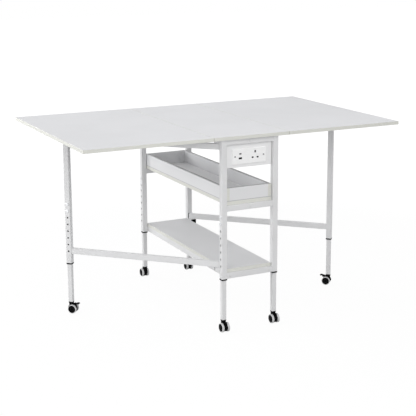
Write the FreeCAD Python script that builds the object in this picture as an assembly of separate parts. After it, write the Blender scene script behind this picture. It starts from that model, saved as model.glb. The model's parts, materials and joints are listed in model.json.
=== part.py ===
import FreeCAD, Part
import math
import os

Vector = FreeCAD.Vector

# Folding cutting table on casters: a narrow centre frame with a storage tray, a shelf and a
# power outlet carries a fixed centre board, and two hinged leaves rest on swing-out gate legs.
# X runs along the table (left is -X), Y across it (near is -Y), Z up from the floor.
# All lengths are in millimetres and all angles in degrees.

# Table top
top_length = 1500.0
top_depth = 920.0
table_height = 856.0
board_thickness = 15.0
board_edge_round = 0.8
center_board_width = 357.0
seam_gap = 2.0

# Centre frame
post_size = 25.0
post_wall = 1.5
post_corner = 2.5
bore_corner_share = 0.5
frame_width = 272.0
frame_end_inset = 16.5
rail_height = 25.0
rail_depth = 22.0
rail_corner = 2.0

# Height adjustment: outer tubes with a row of holes, inner tubes that slide in them
outer_tube_lift = 236.0
hole_radius = 4.2
hole_pitch = 31.0
hole_count = 8
first_hole_rise = 55.5
inner_tube_size = 20.0
inner_tube_wall = 1.5
inner_tube_corner = 2.0
inner_tube_length = 500.0
collar_height = 5.5
collar_lip = 0.6
collar_play = 0.3
lock_screw_count = 2
lock_head_radius = 7.5
lock_head_height = 3.5
lock_head_round = 1.4
lock_screw_play = 0.3

# Storage tray and shelf
storage_board_thickness = 15.0
storage_side_play = 1.8
storage_end_inset = 12.5
tray_headroom = 85.0
tray_wall_height = 58.0

# Power outlet
outlet_panel_height = 101.0
outlet_panel_thickness = 12.0
outlet_panel_inset = 15.0
faceplate_width = 162.0
faceplate_height = 67.0
faceplate_thickness = 4.0
faceplate_corner = 5.0
faceplate_edge_round = 2.4
faceplate_drop = 54.0
outlet_screw_reach = 68.5
outlet_screw_radius = 3.6
outlet_screw_head = 1.6
outlet_screw_shank_radius = 1.8
outlet_screw_length = 14.0
outlet_screw_play = 0.2
housing_width = 118.0
housing_height = 52.0
housing_depth = 46.0
housing_play = 1.0
housing_corner = 3.0
gland_radius = 7.0
gland_bore_radius = 4.0
gland_length = 9.0
pocket_depth = 9.0
slot_corner_share = 0.125
socket_offset = 28.0
socket_rise = 4.0
pin_slot_spacing = 24.0
pin_slot_width = 7.8
pin_slot_height = 5.0
earth_slot_rise = 25.0
earth_slot_width = 5.2
earth_slot_height = 8.8
port_offset = 43.0
upper_port_rise = 11.0
upper_port_width = 9.8
upper_port_height = 4.0
lower_port_drop = 8.0
lower_port_width = 14.2
lower_port_height = 6.8
port_tongue_width = 10.4
port_tongue_thickness = 1.8
port_tongue_length = 7.0

# Leaf hinges under the seams
hinge_length = 70.0
hinge_wing_width = 30.0
hinge_plate = 2.0
knuckle_count = 3
knuckle_radius = 4.0
knuckle_play = 0.3
hinge_pin_radius = 2.0
pin_play = 0.05
hinge_place_shares = (-0.38, -0.02, 0.42)

# Gate legs
gate_reach = 708.0
gate_open_angle = 45.6
gate_rail_width = 20.0
gate_rail_height = 25.0
gate_rail_tail = 11.0
gate_brace_rise = 44.0
leaf_rest_gap = 0.3
leg_cap_thickness = 3.0

# Gate hinges: a stub of tube on the post holds the pivot bolt of each gate rail
stub_length = 42.0
hinge_play = 0.2
swing_gap = 0.5
pivot_bolt_radius = 4.0
pivot_sleeve_wall = 3.0
bolt_head_sides = 6
bolt_head_radius = 7.0
bolt_head_height = 4.5
end_cap_thickness = 4.0
end_cap_round = 1.0
end_cap_plug = 3.0
end_cap_play = 0.3

# Twin-wheel casters
caster_height = 50.0
wheel_radius = 20.0
wheel_width = 9.5
wheel_spacing = 27.0
tyre_thickness = 2.8
tyre_round = 1.2
tyre_seat_play = 0.05
hub_dish_radius = 13.0
hub_dish_depth = 1.2
hub_cap_radius = 5.0
axle_radius = 3.0
trail = 9.0
hood_web_radius = 18.0
hood_web_width = 14.0
arch_inner_radius = 21.0
arch_outer_radius = 23.5
arch_width = 16.5
arch_start_angle = 62.0
arch_end_angle = 176.0
neck_base_radius = 8.0
neck_top_radius = 11.5
neck_gap = 0.5
stem_radius = 5.0
stem_length = 24.0
stem_end_gap = 0.4
plug_length = 34.0
lever_pivot_radius = 26.5
lever_pivot_angle = 55.0
lever_pin_radius = 1.5
lever_barrel_radius = 3.2
lever_barrel_width = 9.2
lever_rise_angle = 50.0
lever_curve_radius = 11.0
lever_curve_angle = 85.0
lever_neck_angle = 28.0
lever_thickness = 4.5
lever_width = 15.0
ear_radius = 4.0
ear_thickness = 3.0
ear_gap = 0.4
ear_lap_angle = 14.0

# Overrun of every cutting shape past the faces that it cuts
overrun = 2.0

# Places that follow from the sizes above
underside = table_height - board_thickness
seam_x = center_board_width / 2 + seam_gap / 2
frame_depth = top_depth - 2 * frame_end_inset
post_x = frame_width / 2 - post_size / 2
post_y = frame_depth / 2 - post_size / 2
bay_width = frame_width - 2 * post_size
storage_width = bay_width - 2 * storage_side_play
storage_length = frame_depth - 2 * storage_end_inset
pivot_offset = math.hypot(gate_rail_tail + end_cap_thickness, gate_rail_width / 2) + swing_gap
pivot_x = -post_x
pivot_y = -post_y + post_size / 2 + pivot_offset
hole_heights = [outer_tube_lift + first_hole_rise + i * hole_pitch for i in range(hole_count)]
lock_heights = hole_heights[-lock_screw_count:]
gate_top_rail_top = underside - rail_depth - hinge_play
gate_top_rail_bottom = gate_top_rail_top - gate_rail_height
gate_brace_bottom = outer_tube_lift + gate_brace_rise
shelf_underside = outer_tube_lift + rail_height
shelf_top_height = shelf_underside + storage_board_thickness
outlet_panel_front = -frame_depth / 2 + outlet_panel_inset
outlet_top = underside - rail_height
faceplate_center = outlet_top - faceplate_drop
tray_wall_top = outlet_top - outlet_panel_height - tray_headroom
tray_floor_height = tray_wall_top - tray_wall_height


def span(center, size):
    return center - size / 2, center + size / 2


def block(x, y, z):
    return Part.makeBox(x[1] - x[0], y[1] - y[0], z[1] - z[0], Vector(x[0], y[0], z[0]))


def moved(shape, x=0, y=0, z=0):
    copy = shape.copy()
    copy.translate(Vector(x, y, z))
    return copy


def turned(shape, angle, axis=Vector(0, 0, 1)):
    copy = shape.copy()
    copy.rotate(Vector(0, 0, 0), axis, angle)
    return copy


def edges_along(shape, direction):
    """The straight edges of a shape that run along a direction."""
    straight = [edge for edge in shape.Edges if isinstance(edge.Curve, Part.Line)]
    limit = math.cos(math.radians(45))
    return [edge for edge in straight if abs(edge.Curve.Direction.dot(direction)) > limit]


def rounded_bar(size_x, size_y, length, corner):
    bar = block(span(0, size_x), span(0, size_y), (0, length))
    return bar.makeFillet(corner, edges_along(bar, Vector(0, 0, 1)))


def tube(size_x, size_y, length, wall, corner):
    """An upright rectangular tube that stands on the origin."""
    bore_corner = max(corner - wall, wall * bore_corner_share)
    bore = rounded_bar(size_x - 2 * wall, size_y - 2 * wall, length + 2 * overrun, bore_corner)
    return rounded_bar(size_x, size_y, length, corner).cut(moved(bore, z=-overrun))


def lying_along_x(shape):
    return turned(shape, 90, Vector(0, 1, 0))


def lying_along_y(shape):
    return turned(shape, -90, Vector(1, 0, 0))


def board(x, y, z):
    """A board with slightly rounded edges."""
    body = block(x, y, z)
    return body.makeFillet(board_edge_round, body.Edges)


def disc(radius, width, x=0, y=0):
    """A cylinder along Z, centred on the plane z = 0."""
    return Part.makeCylinder(radius, width, Vector(x, y, -width / 2))


def ring_sector(inner, outer, start, end, width):
    """Part of a flat ring about Z, centred on the plane z = 0."""
    axis = Vector(0, 0, 1)
    low = Vector(0, 0, -width / 2)
    solid = Part.makeCylinder(outer, width, low, axis, end - start)
    solid = solid.cut(Part.makeCylinder(inner, width, low, axis, end - start))
    return turned(solid, start)


# Table top

def center_board():
    return board(span(0, center_board_width), span(0, top_depth), (underside, table_height))


def left_leaf():
    inner_edge = -seam_x - seam_gap / 2
    return board((-top_length / 2, inner_edge), span(0, top_depth), (underside, table_height))


# Leaf hinges, drawn for the left seam with the pin on the origin, along Y

def hinge_wing(own_knuckles, side):
    """One wing of a butt hinge: side is +1 for the centre board and -1 for the leaf."""
    z = (knuckle_radius - hinge_plate, knuckle_radius)
    inner = knuckle_radius + knuckle_play
    knuckle_length = hinge_length / knuckle_count
    plate = block((inner, hinge_wing_width), span(0, hinge_length), z)
    for index in own_knuckles:
        center = (index + 1 / 2) * knuckle_length - hinge_length / 2
        reach = span(center, knuckle_length - knuckle_play)
        plate = plate.fuse(block((0, inner + hinge_plate), reach, z))
        start = Vector(0, reach[0], 0)
        barrel_length = knuckle_length - knuckle_play
        plate = plate.fuse(Part.makeCylinder(knuckle_radius, barrel_length, start, Vector(0, 1, 0)))
    bore_start = Vector(0, -hinge_length / 2 - overrun, 0)
    bore_length = hinge_length + 2 * overrun
    bore = Part.makeCylinder(hinge_pin_radius + pin_play, bore_length, bore_start, Vector(0, 1, 0))
    plate = plate.cut(bore).removeSplitter()
    return plate if side > 0 else turned(plate, 180)


def hinge_pin():
    start = Vector(0, -hinge_length / 2, 0)
    return Part.makeCylinder(hinge_pin_radius, hinge_length, start, Vector(0, 1, 0))


def on_left_seam(shape):
    """Copies of a hinge piece at each hinge of the left seam."""
    z = underside - knuckle_radius
    return [moved(shape, -seam_x, share * top_depth, z) for share in hinge_place_shares]


# Legs

def hole_drills(tube_size, wall):
    """Cutting shapes for the row of adjusting holes in the -X wall of a tube."""
    depth = wall + 2 * overrun
    places = [Vector(-tube_size / 2 - overrun, 0, z) for z in hole_heights]
    drills = [Part.makeCylinder(hole_radius, depth, place, Vector(1, 0, 0)) for place in places]
    return Part.makeCompound(drills)


def outer_tube(top):
    """A post or gate leg with its row of adjusting holes on the -X face."""
    shell = tube(post_size, post_size, top - outer_tube_lift, post_wall, post_corner)
    return moved(shell, z=outer_tube_lift).cut(hole_drills(post_size, post_wall))


def inner_tube():
    """The sliding leg: a drilled tube with a plug in its foot that takes the caster's stem."""
    shell = tube(inner_tube_size, inner_tube_size, inner_tube_length, inner_tube_wall, inner_tube_corner)
    plug_size = inner_tube_size - inner_tube_wall
    shell = shell.fuse(rounded_bar(plug_size, plug_size, plug_length, inner_tube_corner))
    bore_depth = overrun + stem_length + stem_end_gap
    shell = shell.cut(Part.makeCylinder(stem_radius + pin_play, bore_depth, Vector(0, 0, -overrun)))
    shell = moved(shell.removeSplitter(), z=caster_height)
    return shell.cut(hole_drills(inner_tube_size, inner_tube_wall))


def collar():
    """The plastic guide under an outer tube."""
    size = post_size + 2 * collar_lip
    opening = inner_tube_size + 2 * collar_play
    ring = rounded_bar(size, size, collar_height, post_corner + collar_lip)
    bore = rounded_bar(opening, opening, collar_height + 2 * overrun, inner_tube_corner)
    return moved(ring.cut(moved(bore, z=-overrun)), z=outer_tube_lift - collar_height)


def lock_screws():
    """Round-headed screws in the highest holes of an outer tube."""
    face = -post_size / 2
    shank_radius = hole_radius - lock_screw_play
    screws = []
    for z in lock_heights:
        place = Vector(face, 0, z)
        head = Part.makeCylinder(lock_head_radius, lock_head_height, place, Vector(-1, 0, 0))
        rim = [edge for edge in head.Edges if edge.BoundBox.XMax < face]
        head = head.makeFillet(lock_head_round, rim)
        shank = Part.makeCylinder(shank_radius, post_wall, place, Vector(1, 0, 0))
        screws.append(head.fuse(shank))
    return screws


# Centre frame

def end_rail(bottom):
    """A rail between the two posts of the near end."""
    rail = lying_along_x(tube(rail_height, rail_depth, bay_width, post_wall, rail_corner))
    return moved(rail, -bay_width / 2, -post_y, bottom + rail_height / 2)


def near_end_rails():
    tray_underside = tray_floor_height - storage_board_thickness
    tops = (underside, tray_underside, shelf_underside)
    return [end_rail(top - rail_height) for top in tops]


def shelf_side_rail(side):
    """A rail under a long edge of the shelf, from one end rail to the other."""
    length = 2 * post_y - rail_depth
    rail = lying_along_y(tube(rail_depth, rail_height, length, post_wall, rail_corner))
    x = side * (storage_width - rail_depth) / 2
    return moved(rail, x, -length / 2, shelf_underside - rail_height / 2)


# Storage

def storage_board(top):
    z = (top - storage_board_thickness, top)
    return board(span(0, storage_width), span(0, storage_length), z)


def tray_side_wall(side):
    outer = side * storage_width / 2
    inner = outer - side * storage_board_thickness
    z = (tray_floor_height, tray_floor_height + tray_wall_height)
    return board((min(outer, inner), max(outer, inner)), span(0, storage_length), z)


def tray_end_wall(side):
    outer = side * storage_length / 2
    inner = outer - side * storage_board_thickness
    z = (tray_floor_height, tray_floor_height + tray_wall_height)
    inside_width = storage_width - 2 * storage_board_thickness
    return board(span(0, inside_width), (min(outer, inner), max(outer, inner)), z)


# Power outlet

def outlet_slots(front, depth):
    """Cutting shapes for three pin slots and two charging ports, from the plane y = front inwards."""
    def slot(width, height, corner, x, z):
        return moved(lying_along_y(rounded_bar(width, height, depth, corner)), x, front, z)

    low = faceplate_center + socket_rise - earth_slot_rise / 2
    pin_corner = pin_slot_height * slot_corner_share
    pin_places = span(socket_offset, pin_slot_spacing)
    cuts = [slot(pin_slot_width, pin_slot_height, pin_corner, x, low) for x in pin_places]
    earth_corner = earth_slot_width * slot_corner_share
    earth = low + earth_slot_rise
    cuts.append(slot(earth_slot_width, earth_slot_height, earth_corner, socket_offset, earth))
    round_end = upper_port_height / 2 - pin_play
    upper = faceplate_center + upper_port_rise
    cuts.append(slot(upper_port_width, upper_port_height, round_end, -port_offset, upper))
    port_corner = lower_port_height * slot_corner_share
    lower = faceplate_center - lower_port_drop
    cuts.append(slot(lower_port_width, lower_port_height, port_corner, -port_offset, lower))
    return Part.makeCompound(cuts)


def screw_shafts(radius, front, length):
    axis = Vector(0, 1, 0)
    places = [Vector(side * outlet_screw_reach, front, faceplate_center) for side in (-1, 1)]
    return [Part.makeCylinder(radius, length, place, axis) for place in places]


def outlet_panel():
    y = (outlet_panel_front, outlet_panel_front + outlet_panel_thickness)
    panel = board(span(0, storage_width), y, (outlet_top - outlet_panel_height, outlet_top))
    x = span(0, housing_width + 2 * housing_play)
    z = span(faceplate_center, housing_height + 2 * housing_play)
    panel = panel.cut(block(x, (y[0] - overrun, y[1] + overrun), z))
    bore = outlet_screw_shank_radius + outlet_screw_play
    depth = outlet_panel_thickness + 2 * overrun
    return panel.cut(Part.makeCompound(screw_shafts(bore, y[0] - overrun, depth)))


def faceplate():
    front = outlet_panel_front - faceplate_thickness
    plate = rounded_bar(faceplate_width, faceplate_height, faceplate_thickness, faceplate_corner)
    plate = moved(lying_along_y(plate), 0, front, faceplate_center)
    face = min(plate.Faces, key=lambda each: each.CenterOfMass.y)
    plate = plate.makeFillet(faceplate_edge_round, face.Edges)
    depth = faceplate_thickness + 2 * overrun
    plate = plate.cut(outlet_slots(front - overrun, depth))
    bore = outlet_screw_shank_radius + outlet_screw_play
    return plate.cut(Part.makeCompound(screw_shafts(bore, front - overrun, depth)))


def outlet_housing():
    """The closed box behind the plate, with the slots' pockets and the cable outlet."""
    body = lying_along_y(rounded_bar(housing_width, housing_height, housing_depth, housing_corner))
    body = moved(body, 0, outlet_panel_front, faceplate_center)
    body = body.cut(outlet_slots(outlet_panel_front - overrun, pocket_depth + overrun))
    tongue_x = span(-port_offset, port_tongue_width)
    tongue_end = outlet_panel_front + pocket_depth
    tongue_z = span(faceplate_center - lower_port_drop, port_tongue_thickness)
    body = body.fuse(block(tongue_x, (tongue_end - port_tongue_length, tongue_end), tongue_z))
    back = Vector(0, outlet_panel_front + housing_depth, faceplate_center)
    gland = Part.makeCylinder(gland_radius, gland_length, back, Vector(0, 1, 0))
    bore = Part.makeCylinder(gland_bore_radius, gland_length + overrun, back, Vector(0, 1, 0))
    gland = gland.cut(bore)
    return body.fuse(gland).removeSplitter()


def outlet_screws():
    front = outlet_panel_front - faceplate_thickness
    heads = screw_shafts(outlet_screw_radius, front - outlet_screw_head, outlet_screw_head)
    shanks = screw_shafts(outlet_screw_shank_radius, front, outlet_screw_length)
    return [head.fuse(shank) for head, shank in zip(heads, shanks)]


# Gate hinges, with the pivot on the origin: the upper stub is above the top rail (way +1) and the
# lower stub under the brace (way -1)

def end_cap(size_x, size_z):
    """A moulded cap for the end of a tube that ends at the origin, pointing along +Y."""
    cap = rounded_bar(size_x, size_z, end_cap_thickness, rail_corner)
    face = max(cap.Faces, key=lambda each: each.CenterOfMass.z)
    cap = cap.makeFillet(end_cap_round, face.Edges)
    inset = 2 * (post_wall + end_cap_play)
    plug = rounded_bar(size_x - inset, size_z - inset, end_cap_plug, rail_corner)
    return lying_along_y(cap.fuse(moved(plug, z=-end_cap_plug)))


def stub_center(rail_face, way):
    return rail_face + way * (hinge_play + rail_depth / 2)


def hinge_stub(rail_face, way):
    """A stub of tube on the post's inner face, next to the face of a gate rail."""
    stub = lying_along_y(tube(post_size, rail_depth, stub_length, post_wall, rail_corner))
    stub = moved(stub, 0, -pivot_offset, stub_center(rail_face, way))
    start = Vector(0, 0, rail_face - way * overrun)
    depth = hinge_play + post_wall + 2 * overrun
    return stub.cut(Part.makeCylinder(pivot_bolt_radius + pin_play, depth, start, Vector(0, 0, way)))


def stub_cap(rail_face, way):
    cap = end_cap(post_size, rail_depth)
    return moved(cap, 0, stub_length - pivot_offset, stub_center(rail_face, way))


def pivot_bolt(rail_face, way):
    """A bolt through a gate rail into its stub, with its head on the rail's other face."""
    seat = rail_face - way * gate_rail_height
    length = gate_rail_height + hinge_play + rail_depth - post_wall
    bolt = Part.makeCylinder(pivot_bolt_radius, length, Vector(0, 0, seat), Vector(0, 0, way))
    turns = [2 * math.pi * index / bolt_head_sides for index in range(bolt_head_sides + 1)]
    corners = [bolt_head_radius * Vector(math.cos(turn), math.sin(turn), 0) for turn in turns]
    head = Part.Face(Part.makePolygon(corners)).extrude(Vector(0, 0, -way * bolt_head_height))
    return bolt.fuse(moved(head, z=seat)).removeSplitter()


# Gates, drawn closed along +Y with the pivot on the origin

def gate_rail(bottom):
    """A gate rail from its tail, which just clears the post in the swing, to the leg."""
    length = gate_rail_tail + gate_reach - post_size / 2
    rail = lying_along_y(tube(gate_rail_width, gate_rail_height, length, post_wall, rail_corner))
    rail = moved(rail, 0, -gate_rail_tail, bottom + gate_rail_height / 2)
    sleeve_radius = pivot_bolt_radius + pivot_sleeve_wall
    rail = rail.fuse(Part.makeCylinder(sleeve_radius, gate_rail_height, Vector(0, 0, bottom)))
    start = Vector(0, 0, bottom - overrun)
    bore = Part.makeCylinder(pivot_bolt_radius + pin_play, gate_rail_height + 2 * overrun, start)
    return rail.cut(bore).removeSplitter()


def gate_tail_cap(bottom):
    cap = turned(end_cap(gate_rail_width, gate_rail_height), 180)
    return moved(cap, 0, -gate_rail_tail, bottom + gate_rail_height / 2)


def gate_leg():
    top = underside - leaf_rest_gap
    leg = outer_tube(top)
    cap_size = post_size - post_wall
    cap = rounded_bar(cap_size, cap_size, leg_cap_thickness, post_corner)
    return leg.fuse(moved(cap, z=top - leg_cap_thickness)).removeSplitter()


def on_left_gate(shape):
    return moved(turned(shape, gate_open_angle), pivot_x, pivot_y)


# Casters, drawn about the axle: X trails away from the swivel axis, Y is up, Z is along the axle

def at_axle(shape):
    """Turn a shape drawn about the axle into the caster's own frame, on the floor."""
    return moved(turned(shape, 120, Vector(1, 1, 1)), 0, trail, wheel_radius)


def lever_pivot():
    angle = math.radians(lever_pivot_angle)
    return Vector(lever_pivot_radius * math.cos(angle), lever_pivot_radius * math.sin(angle), 0)


def caster_body(braked):
    """Hood, neck and stem: the hood is a web between the wheels with a rim that rises above them."""
    angles = (arch_start_angle, arch_end_angle)
    hood = disc(hood_web_radius, hood_web_width)
    hood = hood.fuse(ring_sector(axle_radius, arch_outer_radius, *angles, hood_web_width))
    hood = hood.fuse(ring_sector(arch_inner_radius, arch_outer_radius, *angles, arch_width))
    if braked:
        pivot = lever_pivot()
        angles = (lever_pivot_angle, arch_start_angle + ear_lap_angle)
        ear = ring_sector(arch_inner_radius, lever_pivot_radius, *angles, ear_thickness)
        ear = ear.fuse(disc(ear_radius, ear_thickness, pivot.x, pivot.y))
        ear_offset = (lever_barrel_width + ear_thickness) / 2 + ear_gap
        hood = hood.fuse(moved(ear, z=-ear_offset)).fuse(moved(ear, z=ear_offset))
        hood = hood.fuse(disc(lever_pin_radius, 2 * ear_offset, pivot.x, pivot.y))
    hood = hood.cut(disc(axle_radius + pin_play, hood_web_width + 2 * overrun))
    hood = at_axle(hood)
    neck_top = caster_height - neck_gap
    neck_height = neck_top - wheel_radius
    neck = Part.makeCone(neck_base_radius, neck_top_radius, neck_height, Vector(0, 0, wheel_radius))
    neck = neck.cut(at_axle(disc(arch_inner_radius, wheel_spacing + wheel_width)))
    stem = Part.makeCylinder(stem_radius, stem_length + neck_gap, Vector(0, 0, neck_top))
    return hood.fuse(neck).fuse(stem).removeSplitter()


def caster_wheels():
    """Two dished hubs on one axle."""
    hub_radius = wheel_radius - tyre_thickness
    shape = disc(axle_radius, wheel_spacing)
    dish_low = Vector(0, 0, wheel_width / 2 - hub_dish_depth)
    dish_low_radius = hub_dish_radius - hub_dish_depth
    dish = Part.makeCone(dish_low_radius, hub_dish_radius, hub_dish_depth, dish_low)
    cap_low_radius = hub_cap_radius + hub_dish_depth
    cap = Part.makeCone(cap_low_radius, hub_cap_radius, hub_dish_depth, dish_low)
    hub = moved(disc(hub_radius, wheel_width).cut(dish).fuse(cap), z=wheel_spacing / 2)
    shape = shape.fuse(hub).fuse(turned(hub, 180, Vector(1, 0, 0)))
    return at_axle(shape.removeSplitter())


def caster_tyres():
    inner = wheel_radius - tyre_thickness + tyre_seat_play
    ring = disc(wheel_radius, wheel_width)
    rims = [edge for edge in ring.Edges if isinstance(edge.Curve, Part.Circle)]
    ring = ring.makeFillet(tyre_round, rims).cut(disc(inner, wheel_width))
    return [at_axle(moved(ring, z=side * wheel_spacing / 2)) for side in (-1, 1)]


def brake_lever():
    """A foot lever: a narrow neck at the barrel, then a broad tread that rises and droops."""
    pivot = lever_pivot()
    inner = lever_curve_radius - lever_thickness / 2
    outer = lever_curve_radius + lever_thickness / 2
    root = 90 + lever_rise_angle
    tip = root - lever_curve_angle
    arm = ring_sector(inner, outer, tip, root, lever_barrel_width)
    arm = arm.fuse(ring_sector(inner, outer, tip, root - lever_neck_angle, lever_width))
    start = math.radians(root)
    arm = moved(arm, -lever_curve_radius * math.cos(start), -lever_curve_radius * math.sin(start))
    arm = arm.fuse(disc(lever_barrel_radius, lever_barrel_width))
    arm = arm.cut(disc(lever_pin_radius + pin_play, lever_barrel_width + 2 * overrun))
    return at_axle(moved(arm.removeSplitter(), pivot.x, pivot.y))


# Every sub-part, by the name of its file

nodes = {}


def half_turn(shapes):
    """The same pieces on the opposite side: the table repeats after half a turn about Z."""
    return [turned(shape, 180) for shape in shapes]


def add(name, *shapes):
    nodes[name] = shapes[0] if len(shapes) == 1 else Part.makeCompound(list(shapes))


def add_table_top():
    add("center_board", center_board())
    add("left_leaf", left_leaf())
    add("right_leaf", *half_turn([left_leaf()]))
    fixed_wings = on_left_seam(hinge_wing((0, 2), 1))
    leaf_wings = on_left_seam(hinge_wing((1,), -1))
    pins = on_left_seam(hinge_pin())
    add("center_hinge_wings", *fixed_wings, *half_turn(fixed_wings))
    add("leaf_hinge_pins", *pins, *half_turn(pins))
    add("left_leaf_hinge_wings", *leaf_wings)
    add("right_leaf_hinge_wings", *half_turn(leaf_wings))


def add_frame():
    side_rails = [shelf_side_rail(side) for side in (-1, 1)]
    add("end_rails", *near_end_rails(), *half_turn(near_end_rails()), *side_rails)
    add("shelf_board", storage_board(shelf_top_height))
    add("tray_floor", storage_board(tray_floor_height))
    add("tray_walls", *[wall(side) for wall in (tray_side_wall, tray_end_wall) for side in (-1, 1)])


def add_outlet():
    add("outlet_panel", outlet_panel())
    add("outlet_faceplate", faceplate())
    add("outlet_housing", outlet_housing())
    add("outlet_screws", *outlet_screws())


def add_gate_hinges():
    makers = {"gate_hinge_stubs": hinge_stub, "gate_hinge_caps": stub_cap, "gate_pivot_bolts": pivot_bolt}
    for name, maker in makers.items():
        pair = maker(gate_brace_bottom, -1), maker(gate_top_rail_top, 1)
        left = [moved(shape, pivot_x, pivot_y) for shape in pair]
        add(name, *left, *half_turn(left))


def add_leg(name, place, caster_turn, braked):
    """The sliding tube and the caster of one leg; place puts a leg drawn on the origin."""
    def caster_place(shape):
        return place(turned(shape, caster_turn))
    add(name + "_inner_tube", place(inner_tube()))
    add(name + "_caster_body", caster_place(caster_body(braked)))
    add(name + "_caster_wheels", caster_place(caster_wheels()))
    add(name + "_caster_tyres", *[caster_place(tyre) for tyre in caster_tyres()])
    if braked:
        add(name + "_brake_lever", caster_place(brake_lever()))


def add_posts():
    collars = []
    screws = []
    for depth, y, heading in (("near", -post_y, 180), ("far", post_y, 0)):
        for side, turn in (("left", 0), ("right", 180)):
            def place(shape, y=y, turn=turn):
                x = -post_x if turn == 0 else post_x
                return moved(turned(shape, turn), x, y)
            name = depth + "_" + side
            add(name + "_post", place(outer_tube(underside)))
            collars.append(place(collar()))
            screws.extend(place(screw) for screw in lock_screws())
            add_leg(name, place, heading - turn, False)
    add("post_collars", *collars)
    add("post_lock_screws", *screws)


def add_gates():
    for side, turn in (("left", 0), ("right", 180)):
        def place(shape, turn=turn):
            return turned(on_left_gate(moved(shape, y=gate_reach)), turn)
        name = side + "_gate"
        add(name + "_leg", place(gate_leg()))
        for piece, maker in (("_rails", gate_rail), ("_tail_caps", gate_tail_cap)):
            pair = maker(gate_brace_bottom), maker(gate_top_rail_bottom)
            add(name + piece, *[turned(on_left_gate(shape), turn) for shape in pair])
        add(name + "_collar", place(collar()))
        add(name + "_lock_screws", *[place(screw) for screw in lock_screws()])
        add_leg(name, place, 180, True)


add_table_top()
add_frame()
add_outlet()
add_gate_hinges()
add_posts()
add_gates()

os.makedirs("parts", exist_ok=True)
for node_name, node_shape in nodes.items():
    node_shape.exportStep(os.path.join("parts", node_name + ".step"))
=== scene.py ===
import json
import math

import bmesh
import bpy
from mathutils import Euler, Matrix, Vector


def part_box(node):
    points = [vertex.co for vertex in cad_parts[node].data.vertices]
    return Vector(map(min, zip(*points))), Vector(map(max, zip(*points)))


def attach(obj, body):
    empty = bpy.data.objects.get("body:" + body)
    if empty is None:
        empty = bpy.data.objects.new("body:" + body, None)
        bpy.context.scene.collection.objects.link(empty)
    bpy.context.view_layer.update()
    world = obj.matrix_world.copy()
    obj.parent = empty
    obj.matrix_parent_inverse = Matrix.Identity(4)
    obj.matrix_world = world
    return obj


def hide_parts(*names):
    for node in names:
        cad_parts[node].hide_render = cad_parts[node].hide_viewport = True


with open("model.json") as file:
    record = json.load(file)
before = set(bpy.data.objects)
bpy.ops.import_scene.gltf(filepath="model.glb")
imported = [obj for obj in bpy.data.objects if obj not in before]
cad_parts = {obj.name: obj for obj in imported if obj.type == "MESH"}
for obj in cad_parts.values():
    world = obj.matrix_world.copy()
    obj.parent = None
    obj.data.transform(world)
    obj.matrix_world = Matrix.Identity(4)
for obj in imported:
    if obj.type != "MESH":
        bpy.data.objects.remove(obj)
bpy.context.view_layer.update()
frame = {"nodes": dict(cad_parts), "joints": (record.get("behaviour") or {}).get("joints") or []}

bl_info = {
    "name": "Folding cutting table finish",
    "version": (1, 0, 0),
    "blender": (4, 5, 0),
    "location": "3D View > Sidebar > Cutting table",
    "description": "Finishes, small fasteners and studio of a folding cutting table",
    "category": "Object",
}

# Boards: the axis across the thickness, the colour of the faces and, where there is one, of the backing.
BOARDS = {
    "center_board": (2, "worktop", "backing"),
    "left_leaf": (2, "worktop", "backing"),
    "right_leaf": (2, "worktop", "backing"),
    "tray_floor": (2, "tray_floor", None),
    "shelf_board": (2, "shelf", None),
    "outlet_panel": (1, "panel", None),
}
# Nodes of the frame that share a finish.
LEGS = ("near_left", "near_right", "far_left", "far_right", "left_gate", "right_gate")
POSTS = tuple(leg + "_post" for leg in LEGS if "gate" not in leg)
PAINTED_TUBES = (
    "end_rails", "gate_hinge_stubs", "left_gate_leg", "right_gate_leg", "left_gate_rails",
    "right_gate_rails",
)
BLACK_MOULDINGS = (
    "post_collars", "left_gate_collar", "right_gate_collar", "gate_hinge_caps", "left_gate_tail_caps",
    "right_gate_tail_caps", "left_gate_brake_lever", "right_gate_brake_lever",
) + tuple(leg + "_caster_body" for leg in LEGS)
PLATED_STEEL = (
    "center_hinge_wings", "left_leaf_hinge_wings", "right_leaf_hinge_wings", "leaf_hinge_pins",
    "gate_pivot_bolts", "post_lock_screws", "left_gate_lock_screws", "right_gate_lock_screws",
)
SOFT_BOXES = ("left", "front", "back", "top")

# Share of a colour that is left where it is darker.
# Painted shade on the tray walls' top edges and painted shadow in their joint at the floor.
WALL_SHADE_TONE = 0.60
# Painted shade in the posts' adjusting holes and round their lips.
HOLE_SHADE_TONE = 0.28
FLECK_TONE = 0.965
SPECK_TONE = 0.88
ZINC_TONE = 0.84
DUST_TONE = 0.80

# Lengths in the finishes, in metres. A pair of them is where a change starts and ends.
WALL_CORNER = (0.0012, 0.0006)
# Height above the tray's floor of the painted shadow line in the walls' joint.
JOINT_SHADE_LINE = (0.0040, 0.0022)
# Width of the painted shade round the lips of the posts' holes.
HOLE_SHADE_LIP = 0.0011
HOLE_MOUTH = (0.0001, 0.0003)
HOLE_END = (0.004, 0.003)
# Width of the painted shade round the lips of the outlet's slots.
SLOT_SHADE_LIP = 0.0014
SLOT_MOUTH = (0.00005, 0.0003)
RIM_FADE = 0.001
PLUG_FADE = 0.0002
TREAD_FADE = (0.0012, 0.0002)
HUB_RING_START = (0.0062, 0.0072)
HUB_RING_END = (0.0098, 0.0086)
# Share of the rays into the solid that meet no edge nearby, where a lip starts and where it is full.
LIP_OPENNESS = (0.98, 0.70)
# Radians of the turned rings in a hub, for a metre of radius.
HUB_TURNING = 7000.0

# Screws: shares of a head's radius or height, and the places in a hinge wing as shares of the spread
# along the pin and of the reach from it.
SCREW_SIDES = 36
SCREW_CROWN = 0.75
RECESS_WIDTH = 0.17
RECESS_DEPTH = 0.55
HINGE_SCREW_PLACES = ((-0.5, 1.0), (0.0, 0.62), (0.5, 1.0))
SMOOTH_BELOW = math.radians(35)


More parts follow.
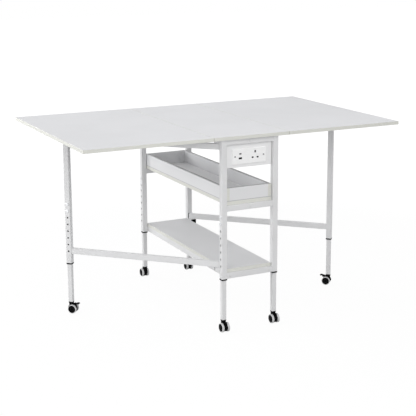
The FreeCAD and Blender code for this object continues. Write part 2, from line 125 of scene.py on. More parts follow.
def colour(name, description, default):
    return bpy.props.FloatVectorProperty(
        name=name, description=description, default=default, subtype="COLOR", size=3, min=0, max=1,
    )


def length(name, description, default):
    return bpy.props.FloatProperty(
        name=name, description=description, default=default, unit="LENGTH", subtype="DISTANCE",
    )


def angle(name, description, degrees):
    return bpy.props.FloatProperty(
        name=name, description=description, default=math.radians(degrees), unit="ROTATION",
        subtype="ANGLE",
    )


def place(name, description, default):
    return bpy.props.FloatVectorProperty(
        name=name, description=description, default=default, unit="LENGTH", subtype="TRANSLATION",
        size=3,
    )


def plain_number(name, description, default):
    return bpy.props.FloatProperty(name=name, description=description, default=default, precision=3)


def group(name, description, kind):
    return bpy.props.PointerProperty(name=name, description=description, type=kind)


class TableFinishes(bpy.types.PropertyGroup):
    """Colours of the table's surfaces, and lengths that bound them."""

    worktop: colour("Worktop", "Laminate of the three top boards", (0.800, 0.805, 0.826))
    backing: colour("Backing", "White backing under the three top boards", (0.92, 0.92, 0.925))
    tray: colour("Tray", "Laminate of the tray's walls", (0.800, 0.803, 0.816))
    tray_floor: colour("Tray floor", "White board of the tray's floor", (0.930, 0.931, 0.936))
    shelf: colour("Shelf", "Laminate of the shelf", (0.735, 0.738, 0.750))
    panel: colour("Panel", "Laminate of the outlet's panel", (0.885, 0.886, 0.891))
    edging: colour("Edging", "Edge band of the boards", (0.735, 0.738, 0.690))
    paint: colour("Paint", "Powder coat of the steel tubes", (0.775, 0.777, 0.784))
    outlet: colour("Outlet", "Plate of the power outlet", (0.96, 0.96, 0.962))
    black: colour("Black plastic", "Casters, collars and end caps", (0.004, 0.004, 0.0045))
    hub_ring: colour("Hub ring", "Paler ring on the wheel hubs", (0.02, 0.02, 0.021))
    tyre: colour("Tyre", "Soft tread of the wheels", (0.70, 0.705, 0.71))
    zinc: colour("Zinc", "Plated hinges, bolts and lock screws", (0.78, 0.79, 0.81))
    screw: colour("Outlet screw", "Dull plate of the outlet's screws", (0.34, 0.34, 0.35))
    outlet_rim: length("Outlet rim", "White rim around the outlet's slots", 0.008)
    hole_radius: length("Hole radius", "Adjusting holes of the tubes", 0.0042)
    foot_rim: length("Foot rim", "Black rim of the plug in each sliding tube's foot", 0.0032)


class TableFasteners(bpy.types.PropertyGroup):
    """Sizes of the screws that are modelled here."""

    hinge_plate: length("Hinge plate", "Thickness of a leaf hinge's wings", 0.002)
    hinge_screw_radius: length("Hinge screw radius", "Head of a screw in a leaf hinge", 0.0036)
    hinge_screw_height: length("Hinge screw height", "How far a hinge screw stands proud", 0.0009)
    hinge_screw_reach: length("Hinge screw reach", "From the hinge pin to its outer screws", 0.0225)
    hinge_screw_spread: length("Hinge screw spread", "Between the outer screws of a hinge wing", 0.048)
    rail_screw_radius: length("Rail screw radius", "Head of a screw in an end rail", 0.0046)
    rail_screw_height: length("Rail screw height", "Head height of a rail screw", 0.0024)
    shelf_screw_reach: length("Shelf screw reach", "From the middle to the shelf rail's screws", 0.094)
    recess_share: plain_number("Recess share", "Cross recess as a share of the head's radius", 0.62)


class TableStudio(bpy.types.PropertyGroup):
    """Camera, lamps and floor."""

    eye: place("Camera place", "Where the camera stands", (-2.06917, -4.20274, 1.61380))
    heading: angle("Heading", "Turn of the camera about the upright axis", -26.427)
    dip: angle("Dip", "How far the camera looks down", 11.802)
    roll: angle("Roll", "Turn of the camera about its own axis", -0.23)
    sensor: plain_number("Sensor", "Width of the sensor in millimetres", 36.0)
    lens: plain_number("Lens", "Focal length in millimetres", 89.689)
    rise: plain_number("Rise", "Upright shift of the lens", -0.1)
    sky: plain_number("Sky", "Strength of the even light from above", 0.43)
    horizon: plain_number("Horizon", "Strength of the even light from the sides", 0.99)
    horizon_rise: angle("Horizon rise", "How high the light from the sides reaches", 40.0)
    horizon_fade: plain_number("Horizon fade", "Half of the change between the two even lights", 0.15)
    aim: place("Lamps' aim", "The point that the soft boxes face", (0.0, 0.0, 0.5))
    box_width: length("Soft box width", "Side of each square soft box", 1.6)
    left_power: plain_number("Left power", "Soft box on the left, in watts", 21.0)
    left_place: place("Left place", "Where the left soft box stands", (-2.9, 0.4, 0.7))
    front_power: plain_number("Front power", "Soft box in front, in watts", 24.0)
    front_place: place("Front place", "Where the front soft box stands", (-0.9, -3.0, 1.9))
    back_power: plain_number("Back power", "Soft box behind the table, in watts", 56.0)
    back_place: place("Back place", "Where the soft box behind the table stands", (-2.3, 4.0, 1.8))
    top_power: plain_number("Top power", "Soft box above, in watts", 6.0)
    top_place: place("Top place", "Where the upper soft box hangs", (0.2, -0.3, 3.6))
    floor_width: length("Floor width", "Side of the square floor", 40.0)
    floor: colour("Floor", "Grey that the floor throws back on the table", (0.40, 0.40, 0.40))
    floor_glow: plain_number("Floor glow", "Strength of the white that the floor shows", 1.1)
    floor_veil: plain_number("Floor veil", "Share of white over the floor under the table", 0.86)
    shadow_start: length("Shadow start", "From the middle to where the shadow begins to fade", 1.6)
    shadow_end: length("Shadow end", "From the middle to where the shadow has gone", 4.0)


# Shader maths

def toned(color, share):
    """A share of a colour."""
    return [part * share for part in color]


class Field:
    """A number, colour, vector or shader in a node tree. Arithmetic on it adds nodes."""

    def __init__(self, tree, socket):
        self.tree = tree
        self.socket = socket

    def __add__(self, other):
        return self.tree.maths("ADD", self, other)

    def __radd__(self, other):
        return self.tree.maths("ADD", other, self)

    def __sub__(self, other):
        return self.tree.maths("SUBTRACT", self, other)

    def __rsub__(self, other):
        return self.tree.maths("SUBTRACT", other, self)

    def __mul__(self, other):
        return self.tree.maths("MULTIPLY", self, other)

    def __rmul__(self, other):
        return self.tree.maths("MULTIPLY", other, self)

    def __pow__(self, other):
        return self.tree.maths("POWER", self, other)

    def __abs__(self):
        return self.tree.maths("ABSOLUTE", self)

    def step(self, low, high):
        """0 below low, 1 above high and smooth between; low may be the larger."""
        inputs = {"Value": self, "From Min": low, "From Max": high}
        return self.tree.node("ShaderNodeMapRange", {"interpolation_type": "SMOOTHSTEP"}, inputs)


class NodeTree:
    """The nodes of a material or a world."""

    def __init__(self, tree, output):
        self.tree = tree
        tree.nodes.clear()
        self.output = tree.nodes.new(output)

    def node(self, kind, settings=None, inputs=None, output=0):
        made = self.tree.nodes.new(kind)
        for key, value in (settings or {}).items():
            setattr(made, key, value)
        for key, value in (inputs or {}).items():
            self.feed(made.inputs[key], value)
        return Field(self, made.outputs[output])

    def feed(self, socket, value):
        """Link a field to an input, or set a plain value on it."""
        if isinstance(value, Field):
            self.tree.links.new(value.socket, socket)
        else:
            socket.default_value = value

    def maths(self, operation, *values):
        return self.node("ShaderNodeMath", {"operation": operation}, dict(enumerate(values)))

    def vector_maths(self, operation, *values, output=0):
        settings = {"operation": operation}
        return self.node("ShaderNodeVectorMath", settings, dict(enumerate(values)), output)

    def blend(self, first, second, factor):
        """A mix of two shaders."""
        return self.node("ShaderNodeMixShader", None, {0: factor, 1: first, 2: second})

    def show(self, shader):
        self.feed(self.output.inputs["Surface"], shader)

    def seen_directly(self):
        """1 for rays from the camera, mirror rays and rays through clear parts."""
        names = ("Is Camera Ray", "Is Glossy Ray", "Is Transmission Ray")
        camera, mirror, through = (self.node("ShaderNodeLightPath", output=name) for name in names)
        return self.maths("MAXIMUM", self.maths("MAXIMUM", camera, mirror), through)


class Finish(NodeTree):
    """A material: its nodes, and the fields that its recipes read."""

    def __init__(self, name):
        self.material = bpy.data.materials.new(name)
        self.material.use_nodes = True
        super().__init__(self.material.node_tree, "ShaderNodeOutputMaterial")
        self.shader = self.node("ShaderNodeBsdfPrincipled")
        self.show(self.shader)
        self.place = self.node("ShaderNodeTexCoord", output="Object")
        self.normal = self.node("ShaderNodeTexCoord", output="Normal")

    def axis(self, vector, index):
        """One coordinate of a vector field."""
        return self.node("ShaderNodeSeparateXYZ", None, {0: vector}, index)

    def noise(self, size, detail=2.0, roughness=0.5, stretch=None):
        """Noise with features of a size in metres, about 0.5; stretch scales the coordinates."""
        place = self.place
        if stretch:
            place = self.node("ShaderNodeMapping", None, {"Vector": place, "Scale": stretch})
        inputs = {"Vector": place, "Scale": 1 / size, "Detail": detail, "Roughness": roughness}
        return self.node("ShaderNodeTexNoise", None, inputs)

    def mix(self, low, high, factor):
        """A blend of two colours, each a triple or a field."""
        inputs = {0: factor}
        for index, value in ((6, low), (7, high)):
            inputs[index] = value if isinstance(value, Field) else (*value, 1)
        return self.node("ShaderNodeMix", {"data_type": "RGBA"}, inputs, 2)

    def tinted(self, base, change, factor):
        """The base colour, up to a share darker where the factor is 1."""
        return self.mix(base, toned(base, 1 - change), factor)

    def shade_lips(self, width):
        """Mask for painted shade: 1 at the edges of holes and slots, fading over a width,
        where the solid behind is narrow.
        """
        look = {"inside": True, "only_local": True, "samples": 16}
        solid = self.node("ShaderNodeAmbientOcclusion", look, {"Distance": width}, "AO")
        return solid.step(*LIP_OPENNESS)

    def bump(self, height, depth):
        """A normal from a height field whose unit is depth metres."""
        inputs = {"Height": height, "Distance": depth, "Strength": 1.0}
        return self.node("ShaderNodeBump", None, inputs)

    def surface(self, **values):
        """Link fields to the shader's inputs and set plain values on its sockets."""
        names = {"color": "Base Color", "specular": "Specular IOR Level"}
        for key, value in values.items():
            self.feed(self.shader.socket.node.inputs[names.get(key, key.title())], value)
        return self.material


def laminate(name, face, edging, thin_axis, backing=None):
    """Matt laminate on the broad faces of a board and an edge band on the narrow ones.

    A backing is the colour of the face that looks against the axis across the board.
    """
    finish = Finish(name)
    across = finish.axis(finish.normal, thin_axis)
    behind = across.step(-0.5, -0.6) if backing else None
    return laminated(finish, face, edging, abs(across), behind, backing)


def tray_laminate(name, face, edging, inside, floor):
    """Laminate on the tray's walls, with painted shade on their top edges
    and a painted shadow line in the joint at the floor.

    The painted shadow line shows outside only. The side walls lie beyond the inside's half width.
    """
    finish = Finish(name)
    side = abs(finish.axis(finish.place, 0)).step(*(inside - inset for inset in WALL_CORNER))
    along, across, up = (abs(finish.axis(finish.normal, index)) for index in (0, 1, 2))
    facing = finish.vector_maths("DOT_PRODUCT", finish.place, finish.normal, output="Value")
    height = finish.axis(finish.place, 2)
    # Painted shadow along the outside of the joint at the floor, and painted shade on the walls' top
    # edges.
    joint = facing.step(0.0, 0.01) * height.step(*(floor + above for above in JOINT_SHADE_LINE))
    painted_shade = finish.maths("MAXIMUM", joint, up.step(0.90, 0.97))
    broad = side * along + (1 - side) * across + up
    return laminated(finish, face, edging, broad, painted_shade, toned(face, WALL_SHADE_TONE))


def laminated(finish, face, edging, broad, patch=None, patch_color=None):
    """The laminate's recipe: broad is 1 on the broad faces, and patch where another colour shows."""
    band = broad.step(0.97, 0.86)
    cloud = finish.noise(0.35, 3.0)
    fleck = finish.noise(0.004, 2.0, 0.7)
    color = finish.tinted(face, 0.035, cloud.step(0.35, 0.7))
    color = finish.mix(color, toned(face, FLECK_TONE), fleck.step(0.55, 0.8))
    drawn = finish.noise(0.03, 2.0, 0.5, (1.0, 1.0, 12.0))
    band_color = finish.tinted(edging, 0.05, drawn.step(0.4, 0.7))
    color = finish.mix(color, band_color, band)
    # The patch is a backing, or on the tray painted shade.
    if patch:
        color = finish.mix(color, patch_color, patch)
    scuff = finish.noise(0.05, 4.0, 0.6, (1.0, 9.0, 1.0)).step(0.62, 0.75)
    roughness = 0.52 - 0.10 * scuff - 0.12 * band + 0.06 * fleck
    pearl = finish.noise(0.0011, 1.0) * (1 - band) + finish.noise(0.006, 1.0) * band * 0.3
    normal = finish.bump(pearl, 0.00006)
    return finish.surface(color=color, roughness=roughness, normal=normal, specular=0.4)


def powder_coat(name, base, holes=None, rim=None, rim_color=None):
    """Satin powder coat with a fine orange peel.

    Holes are given as the arguments of the hole mask below: painted shade darkens their walls and lips.
    A tube's foot has a plug's rim below a height.
    """
    finish = Finish(name)
    peel = finish.noise(0.0016, 1.5, 0.45)
    cloud = finish.noise(0.12, 3.0)
    color = finish.tinted(base, 0.04, cloud.step(0.35, 0.75))
    speck = finish.noise(0.0035, 1.0).step(0.72, 0.78)
    color = finish.mix(color, toned(base, SPECK_TONE), speck * 0.6)
    if holes:
        # Painted shade on the walls and lips of the holes.
        color = finish.mix(color, toned(base, HOLE_SHADE_TONE), hole_shade(finish, *holes))
    if rim:
        foot = finish.axis(finish.place, 2).step(rim + PLUG_FADE, rim - PLUG_FADE)
        color = finish.mix(color, rim_color, foot)
    roughness = 0.40 + 0.10 * cloud + 0.05 * peel
    normal = finish.bump(peel, 0.00005)
    return finish.surface(color=color, roughness=roughness, normal=normal, specular=0.35)


def hole_shade(finish, face, middle, way, radius):
    """Painted shade, 1 on the walls and lips of holes drilled along X into a face, at a middle along Y.
    """
    depth = (finish.axis(finish.place, 0) - face) * way
    aside = abs(finish.axis(finish.place, 1) - middle)
    inner = aside.step(radius * 1.15, radius * 1.05) * depth.step(*HOLE_MOUTH)
    outer = aside.step(radius * 1.5, radius * 1.35) * finish.shade_lips(HOLE_SHADE_LIP)
    return finish.maths("MAXIMUM", inner, outer) * depth.step(*HOLE_END)


def moulded_plastic(name, base, roughness, grain, wear=0.0):
    """Moulded plastic with a sparked grain of a size in metres, lighter where it is worn."""
    finish = Finish(name)
    spark = finish.noise(grain, 2.0, 0.6)
    cloud = finish.noise(0.03, 3.0)
    color = finish.tinted(base, 0.10, cloud.step(0.35, 0.7))
    if wear:
        rubbed = finish.noise(0.006, 4.0, 0.7).step(0.62, 0.78)
        color = finish.mix(color, [part + wear for part in base], rubbed)
    gloss = roughness - 0.05 + 0.10 * cloud + 0.05 * spark
    normal = finish.bump(spark, 0.00003)
    return finish.surface(color=color, roughness=gloss, normal=normal, specular=0.02)


def outlet_white(name, base, shade_color, low, high, rim):
    """Glossy white moulding with a faint flow pattern, with painted shade in the slots and at their
    lips.

    The slots lie within the plate's box, at least a rim's width from its edge.
    """
    finish = Finish(name)
    flow = finish.noise(0.02, 3.0, 0.6, (1.0, 1.0, 3.0))
    color = finish.tinted(base, 0.03, flow.step(0.4, 0.7))
    # Painted shade in the slots and round their lips, kept off the plate's rim.
    behind = finish.axis(finish.place, 1).step(*(low.y + depth for depth in SLOT_MOUTH))
    slot_shade = finish.maths("MAXIMUM", behind, finish.shade_lips(SLOT_SHADE_LIP))
    for index in (0, 2):
        near = finish.axis(finish.place, index)
        slot_shade *= near.step(low[index] + rim, low[index] + rim + RIM_FADE)
        slot_shade *= near.step(high[index] - rim, high[index] - rim - RIM_FADE)
    color = finish.mix(color, shade_color, slot_shade)
    roughness = 0.24 + 0.10 * flow
    peel = finish.noise(0.0025, 1.0)
    return finish.surface(color=color, roughness=roughness, normal=finish.bump(peel, 0.00002))


def plated_steel(name, base):
    """Bright zinc with cloudy patches and fine rolling lines."""
    finish = Finish(name)
    cloud = finish.noise(0.008, 4.0, 0.65)
    lines = finish.noise(0.002, 2.0, 0.5, (1.0, 14.0, 1.0))
    color = finish.mix(base, toned(base, ZINC_TONE), cloud.step(0.4, 0.7))
    roughness = 0.26 + 0.14 * cloud + 0.06 * lines
    normal = finish.bump(lines, 0.00002)
    return finish.surface(color=color, roughness=roughness, metallic=1.0, normal=normal)


def about_axle(finish, center, axis):
    """Distance from a wheel's axle."""
    offset = finish.vector_maths("SUBTRACT", finish.place, center)
    along = finish.vector_maths("DOT_PRODUCT", offset, axis, output="Value")
    far = finish.vector_maths("LENGTH", offset, output="Value")
    return finish.maths("SQRT", far ** 2 - along ** 2)


def tyre_rubber(name, base, center, axis, radius):
    """Pale tread with a fine grain, dusty where it rolls."""
    finish = Finish(name)
    out = about_axle(finish, center, axis)
    rolled = out.step(*(radius - depth for depth in TREAD_FADE))
    dust = finish.noise(0.007, 4.0, 0.6)
    color = finish.tinted(base, 0.10, finish.noise(0.02, 2.0).step(0.35, 0.7))
    color = finish.mix(color, toned(base, DUST_TONE), rolled * dust.step(0.45, 0.75))
    grain = finish.noise(0.0007, 2.0, 0.6)
    roughness = 0.58 + 0.14 * dust * rolled + 0.06 * grain
    normal = finish.bump(grain, 0.00004)
    return finish.surface(color=color, roughness=roughness, normal=normal, specular=0.35)


def hub_plastic(name, base, ring, center, axis):
    """Black hub with turned rings and a broad paler ring."""
    finish = Finish(name)
    out = about_axle(finish, center, axis)
    band = out.step(*HUB_RING_START) * out.step(*HUB_RING_END)
    turned = finish.maths("SINE", out * HUB_TURNING)
    cloud = finish.noise(0.01, 3.0)
    color = finish.mix(base, ring, band * cloud.step(0.25, 0.65))
    roughness = 0.40 + 0.12 * cloud
    grain = finish.noise(0.0009, 2.0, 0.6) + 0.4 * turned
    normal = finish.bump(grain, 0.00003)
    return finish.surface(color=color, roughness=roughness, normal=normal, specular=0.02)


# Pieces

def settings():
    """The table's property groups."""
    return bpy.context.scene.cutting_table


def give(node, material):
    """Put a finish on a CAD node."""
    target = frame["nodes"][node]
    if not target.material_slots:
        raise RuntimeError(node + " has no material slot")
    for slot in target.material_slots:
        slot.material = material


def deselect_all():
    """Leave edit mode and select nothing."""
    if bpy.context.object and bpy.context.object.mode != "OBJECT":
        bpy.ops.object.mode_set(mode="OBJECT")
    bpy.ops.object.select_all(action="DESELECT")


def pick(target):
    """Select one object alone."""
    deselect_all()
    target.select_set(True)
    bpy.context.view_layer.objects.active = target


def select_edges(target, wanted):
    """In edit mode, select the edges whose middle passes a test."""
    mesh = bmesh.from_edit_mesh(target.data)
    for edge in mesh.edges:
        middle = (edge.verts[0].co + edge.verts[1].co) / 2
        edge.select_set(wanted(middle))
    bmesh.update_edit_mesh(target.data)


def cross_screw(radius, height, recess_share):
    """A pan-head screw's head with a cross recess, standing on the origin along +Z."""
    deselect_all()
    bpy.ops.mesh.primitive_cylinder_add(
        vertices=SCREW_SIDES, radius=radius, depth=height, location=(0, 0, height / 2),
    )
    head = bpy.context.object
    bpy.ops.object.transform_apply(location=True, rotation=True, scale=True)
    bpy.ops.object.mode_set(mode="EDIT")
    bpy.ops.mesh.select_mode(type="EDGE")
    bpy.ops.mesh.select_all(action="DESELECT")
    select_edges(head, lambda middle: middle.z > height * 0.99)
    bpy.ops.mesh.bevel(offset=height * SCREW_CROWN, offset_type="OFFSET", segments=4, profile=0.5)
    bpy.ops.object.mode_set(mode="OBJECT")
    for turn in (0.0, math.pi / 2):
        deselect_all()
        bpy.ops.mesh.primitive_cube_add(size=1, location=(0, 0, height))
        cutter = bpy.context.object
        cutter.scale = (2 * radius * recess_share, 2 * radius * RECESS_WIDTH, 2 * height * RECESS_DEPTH)
        cutter.rotation_euler = (0, 0, turn)
        bpy.ops.object.transform_apply(location=True, rotation=True, scale=True)
        pick(head)
        cut = head.modifiers.new("recess", "BOOLEAN")
        cut.operation = "DIFFERENCE"
        cut.object = cutter
        bpy.ops.object.modifier_apply(modifier=cut.name)
        bpy.data.meshes.remove(cutter.data)
    return head


def spread(pattern, name, places, body, material):
    """Copies of a piece drawn on the origin, joined to one piece that rides on a body."""
    copies = []
    for point, direction in places:
        pick(pattern)
        bpy.ops.object.duplicate(linked=False)
        copy = bpy.context.object
        turn = Vector((0, 0, 1)).rotation_difference(Vector(direction)).to_matrix().to_4x4()
        copy.matrix_world = Matrix.Translation(point) @ turn
        bpy.ops.object.transform_apply(location=True, rotation=True, scale=True)
        copies.append(copy)
    deselect_all()
    for copy in copies:
        copy.select_set(True)
    bpy.context.view_layer.objects.active = copies[0]
    bpy.ops.object.join()
    piece = bpy.context.object
    bpy.ops.object.origin_set(type="ORIGIN_CURSOR")
    bpy.ops.object.shade_smooth_by_angle(angle=SMOOTH_BELOW)
    piece.name = name
    piece.data.name = name
    piece.data.materials.clear()
    piece.data.materials.append(material)
    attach(piece, body)
    return piece


def remove(pattern):
    """Take a pattern away once its copies are made."""
    bpy.data.meshes.remove(pattern.data)


class CUTTINGTABLE_OT_boards(bpy.types.Operator):
    """Laminate and edge bands of the top boards, the tray, the shelf and the outlet panel"""

    bl_idname = "cutting_table.boards"
    bl_label = "Finish boards"

    def execute(self, context):
        finishes = settings().finishes
        edging = tuple(finishes.edging)
        for node, (thin_axis, face, backing) in BOARDS.items():
            face = tuple(getattr(finishes, face))
            backing = tuple(getattr(finishes, backing)) if backing else None
            give(node, laminate(node + "_laminate", face, edging, thin_axis, backing))
        low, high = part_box("tray_floor")
        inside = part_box("tray_walls")[1].x - (high.z - low.z)
        give("tray_walls", tray_laminate("tray_laminate", tuple(finishes.tray), edging, inside, high.z))
        return {"FINISHED"}


class CUTTINGTABLE_OT_tubes(bpy.types.Operator):
    """Powder coat of the posts, rails, gates and sliding legs"""

    bl_idname = "cutting_table.tubes"
    bl_label = "Finish tubes"

    def execute(self, context):
        finishes = settings().finishes
        coat, black = tuple(finishes.paint), tuple(finishes.black)
        paint = powder_coat("white_powder_coat", coat)
        for node in PAINTED_TUBES:
            give(node, paint)
        for post in POSTS:
            low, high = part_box(post)
            on_left = low.x < 0
            outer, middle = (low.x if on_left else high.x), (low.y + high.y) / 2
            # Each post's row of holes gets painted shade on its walls and lips.
            holes = outer, middle, (1 if on_left else -1), finishes.hole_radius
            give(post, powder_coat(post + "_coat", coat, holes))
        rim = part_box(LEGS[0] + "_inner_tube")[0].z + finishes.foot_rim
        sliding = powder_coat("sliding_tube_coat", coat, None, rim, black)
        for leg in LEGS:
            give(leg + "_inner_tube", sliding)
        return {"FINISHED"}


class CUTTINGTABLE_OT_casters(bpy.types.Operator):
    """Black mouldings, wheel hubs and pale tyres"""

    bl_idname = "cutting_table.casters"
    bl_label = "Finish casters"

    def execute(self, context):
        finishes = settings().finishes
        black, ring, tread = (tuple(part) for part in (finishes.black, finishes.hub_ring, finishes.tyre))
        moulding = moulded_plastic("black_moulding", black, roughness=0.45, grain=0.0009, wear=0.008)
        for node in BLACK_MOULDINGS:
            give(node, moulding)
        rolls = {joint["name"]: joint for joint in frame["joints"]}
        for leg in LEGS:
            roll = rolls[leg + "_roll"]
            center, axis = tuple(roll["pos_m"]), tuple(roll["axis"])
            radius = center[2]
            give(leg + "_caster_wheels", hub_plastic(leg + "_hub", black, ring, center, axis))
            give(leg + "_caster_tyres", tyre_rubber(leg + "_tyre", tread, center, axis, radius))
        return {"FINISHED"}


class CUTTINGTABLE_OT_plated_parts(bpy.types.Operator):
    """Zinc plate of the hinges, bolts and lock screws"""

    bl_idname = "cutting_table.plated_parts"
    bl_label = "Finish plated parts"

    def execute(self, context):
        zinc = plated_steel("zinc_plate", tuple(settings().finishes.zinc))
        for node in PLATED_STEEL:
            give(node, zinc)
        return {"FINISHED"}


class CUTTINGTABLE_OT_outlet(bpy.types.Operator):
    """Plate and housing of the outlet, and its two cross-head screws"""

    bl_idname = "cutting_table.outlet"
    bl_label = "Finish outlet"

    def execute(self, context):
        finishes = settings().finishes
        black = tuple(finishes.black)
        low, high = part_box("outlet_screws")
        radius = (high.z - low.z) / 2
        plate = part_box("outlet_faceplate")
        plate_front = plate[0].y
        base, rim = tuple(finishes.outlet), finishes.outlet_rim
        # The slots and their lips get painted shade in black.
        give("outlet_faceplate", outlet_white("outlet_gloss_white", base, black, *plate, rim))
        give("outlet_housing", moulded_plastic("outlet_black", black, roughness=0.45, grain=0.0010))
        proud = plate_front - low.y
        pattern = cross_screw(radius, proud, settings().fasteners.recess_share)
        middle = (low.z + high.z) / 2
        places = [((x, plate_front, middle), (0, -1, 0)) for x in (low.x + radius, high.x - radius)]
        zinc = plated_steel("outlet_screw_zinc", tuple(finishes.screw))
        piece = spread(pattern, "outlet_plate_screws", places, "frame", zinc)
        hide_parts("outlet_screws")
        remove(pattern)
        return {"FINISHED"}


class CUTTINGTABLE_OT_hinge_screws(bpy.types.Operator):
    """Screws that hold the leaf hinges under the boards"""

    bl_idname = "cutting_table.hinge_screws"
    bl_label = "Add hinge screws"

    def execute(self, context):
        sizes = settings().fasteners
        zinc = plated_steel("hinge_screw_zinc", tuple(settings().finishes.zinc))
        pattern = cross_screw(sizes.hinge_screw_radius, sizes.hinge_screw_height, sizes.recess_share)
        pin_low, pin_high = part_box("leaf_hinge_pins")
        pin_radius = (pin_high.z - pin_low.z) / 2
        for side, outward, pin_edge in (("left", -1, pin_low.x), ("right", 1, pin_high.x)):
            wings = side + "_leaf_hinge_wings"
            middles = hinge_middles(frame["nodes"][wings])
            pin_x = pin_edge - outward * pin_radius
            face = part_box(wings)[1].z - sizes.hinge_plate
            for body, way in (("frame", -outward), (side + "_leaf", outward)):
                places = []
                for y in middles:
                    for offset, reach in HINGE_SCREW_PLACES:
                        x = pin_x + way * reach * sizes.hinge_screw_reach
                        spot = (x, y + offset * sizes.hinge_screw_spread, face)
                        places.append((spot, (0, 0, -1)))
                name = side + ("_center" if body == "frame" else "_leaf") + "_hinge_screws"
                spread(pattern, name, places, body, zinc)
        remove(pattern)
        return {"FINISHED"}


def hinge_middles(wings):
    """The middle of each hinge along Y: where the wing plates of a node lie."""
    spans = []
    for polygon in wings.data.polygons:
        values = [wings.data.vertices[index].co.y for index in polygon.vertices]
        spans.append((min(values), max(values)))
    spans.sort()
    groups = []
    for low, high in spans:
        if groups and low <= groups[-1][1]:
            groups[-1][1] = max(groups[-1][1], high)
        else:
            groups.append([low, high])
    return [(low + high) / 2 for low, high in groups]


class CUTTINGTABLE_OT_rail_screws(bpy.types.Operator):
    """Screws in the outer faces of the end rails"""

    bl_idname = "cutting_table.rail_screws"
    bl_label = "Add rail screws"

    def execute(self, context):
        sizes = settings().fasteners
        paint = powder_coat("rail_screw_paint", tuple(settings().finishes.paint))
        pattern = cross_screw(sizes.rail_screw_radius, sizes.rail_screw_height, sizes.recess_share)
        low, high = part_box("end_rails")
        half = (high.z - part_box("outlet_panel")[1].z) / 2
        top, tray, shelf = high.z - half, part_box("tray_floor")[0].z - half, low.z + half
        reach = sizes.shelf_screw_reach
        spots = [(0, top), (0, tray), (-reach, shelf), (reach, shelf)]
        for end, face, way in (("near", low.y, -1), ("far", high.y, 1)):
            places = [((x, face, z), (0, way, 0)) for x, z in spots]
            spread(pattern, end + "_rail_screws", places, "frame", paint)
        remove(pattern)
        return {"FINISHED"}


class CUTTINGTABLE_OT_studio(bpy.types.Operator):
    """Camera, soft boxes, even light and a white floor that keeps the table's shadow"""

    bl_idname = "cutting_table.studio"
    bl_label = "Set up studio"

    def execute(self, context):
        studio = settings().studio
        scene = context.scene
        scene.view_settings.view_transform = "Standard"
        add_camera(scene, studio)
        for side in SOFT_BOXES:
            add_soft_box(scene, studio, side)
        white_world(scene, studio)
        deselect_all()
        bpy.ops.mesh.primitive_plane_add(size=studio.floor_width, location=(0, 0, 0))
        floor = bpy.context.object
        floor.name = "studio_floor"
        floor.data.materials.append(white_floor(studio))
        return {"FINISHED"}


def add_camera(scene, studio):
    """The camera, where the photograph was taken."""
    camera = bpy.data.cameras.new("studio_camera")
    camera.lens = studio.lens
    camera.sensor_width = studio.sensor
    camera.shift_y = studio.rise
    camera.clip_end = 60.0
    holder = bpy.data.objects.new("studio_camera", camera)
    scene.collection.objects.link(holder)
    aim = Euler((math.pi / 2 - studio.dip, 0, studio.heading)).to_matrix()
    aim = aim @ Matrix.Rotation(studio.roll, 3, "Z")
    holder.matrix_world = Matrix.Translation(Vector(studio.eye)) @ aim.to_4x4()
    scene.camera = holder


def add_soft_box(scene, studio, side):
    """A square lamp that faces the table."""
    lamp = bpy.data.lights.new(side + "_soft_box", "AREA")
    lamp.energy = getattr(studio, side + "_power")
    lamp.size = studio.box_width
    box = bpy.data.objects.new(side + "_soft_box", lamp)
    scene.collection.objects.link(box)
    spot = Vector(getattr(studio, side + "_place"))
    turn = (Vector(studio.aim) - spot).to_track_quat("-Z", "Y")
    box.matrix_world = Matrix.Translation(spot) @ turn.to_matrix().to_4x4()


def white_world(scene, studio):
    """Light from all around, stronger from the sides; white where it is seen directly."""
    scene.world = bpy.data.worlds.new("studio_world")
    scene.world.use_nodes = True
    dome = NodeTree(scene.world.node_tree, "ShaderNodeOutputWorld")
    direction = dome.node("ShaderNodeTexCoord", output="Generated")
    rise = dome.node("ShaderNodeSeparateXYZ", None, {0: direction}, 2)
    above, beside, plain = (
        dome.node("ShaderNodeBackground", None, {"Strength": strength})
        for strength in (studio.sky, studio.horizon, 1.0)
    )
    edge = math.sin(studio.horizon_rise)
    fade = studio.horizon_fade
    light = dome.blend(beside, above, rise.step(edge - fade, edge + fade))
    for glow in (above, beside, plain):
        dome.feed(glow.socket.node.inputs["Color"], (1, 1, 1, 1))
    dome.show(dome.blend(light, plain, dome.seen_directly()))


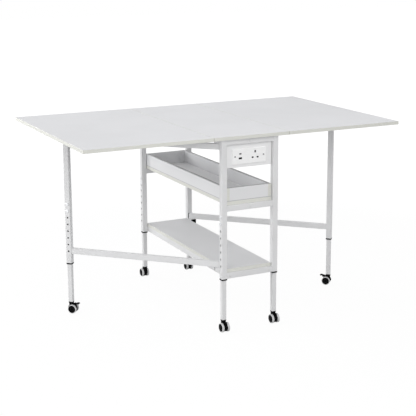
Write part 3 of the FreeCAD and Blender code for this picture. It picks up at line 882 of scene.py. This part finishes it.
def white_floor(studio):
    """White to the camera apart from a soft shadow near the table; grey and matt to other rays."""
    finish = Finish("studio_floor")
    finish.surface(color=(*studio.floor, 1), roughness=0.9, specular=0.1)
    distance = finish.vector_maths("LENGTH", finish.place, output="Value")
    faded = distance.step(studio.shadow_start, studio.shadow_end)
    veil = studio.floor_veil + (1 - studio.floor_veil) * faded
    glow = finish.node("ShaderNodeEmission", None, {"Strength": studio.floor_glow})
    veiled = finish.blend(finish.shader, glow, veil)
    finish.show(finish.blend(finish.shader, veiled, finish.seen_directly()))
    return finish.material


OPERATORS = (
    CUTTINGTABLE_OT_studio, CUTTINGTABLE_OT_boards, CUTTINGTABLE_OT_tubes, CUTTINGTABLE_OT_casters,
    CUTTINGTABLE_OT_plated_parts, CUTTINGTABLE_OT_outlet, CUTTINGTABLE_OT_hinge_screws,
    CUTTINGTABLE_OT_rail_screws,
)


class CuttingTableSettings(bpy.types.PropertyGroup):
    """All settings of the table."""

    finishes: group("Finishes", "Surface colours", TableFinishes)
    fasteners: group("Fasteners", "Screw sizes", TableFasteners)
    studio: group("Studio", "Camera, light and floor", TableStudio)


class CUTTINGTABLE_PT_steps(bpy.types.Panel):
    """The steps in the order in which they run"""

    bl_label = "Cutting table"
    bl_idname = "CUTTINGTABLE_PT_steps"
    bl_space_type = "VIEW_3D"
    bl_region_type = "UI"
    bl_category = "Cutting table"

    def draw(self, context):
        for operator in OPERATORS:
            self.layout.operator(operator.bl_idname)
        for values in (settings().finishes, settings().fasteners, settings().studio):
            column = self.layout.column(align=True)
            for name in values.__annotations__:
                column.prop(values, name)


CLASSES = (
    TableFinishes, TableFasteners, TableStudio, CuttingTableSettings, *OPERATORS, CUTTINGTABLE_PT_steps,
)


def register():
    for each in CLASSES:
        bpy.utils.register_class(each)
    bpy.types.Scene.cutting_table = bpy.props.PointerProperty(type=CuttingTableSettings)


def unregister():
    del bpy.types.Scene.cutting_table
    for each in reversed(CLASSES):
        bpy.utils.unregister_class(each)


def main():
    register()
    for operator in OPERATORS:
        family, step = operator.bl_idname.split(".")
        getattr(getattr(bpy.ops, family), step)()


if __name__ == "__main__":
    main()
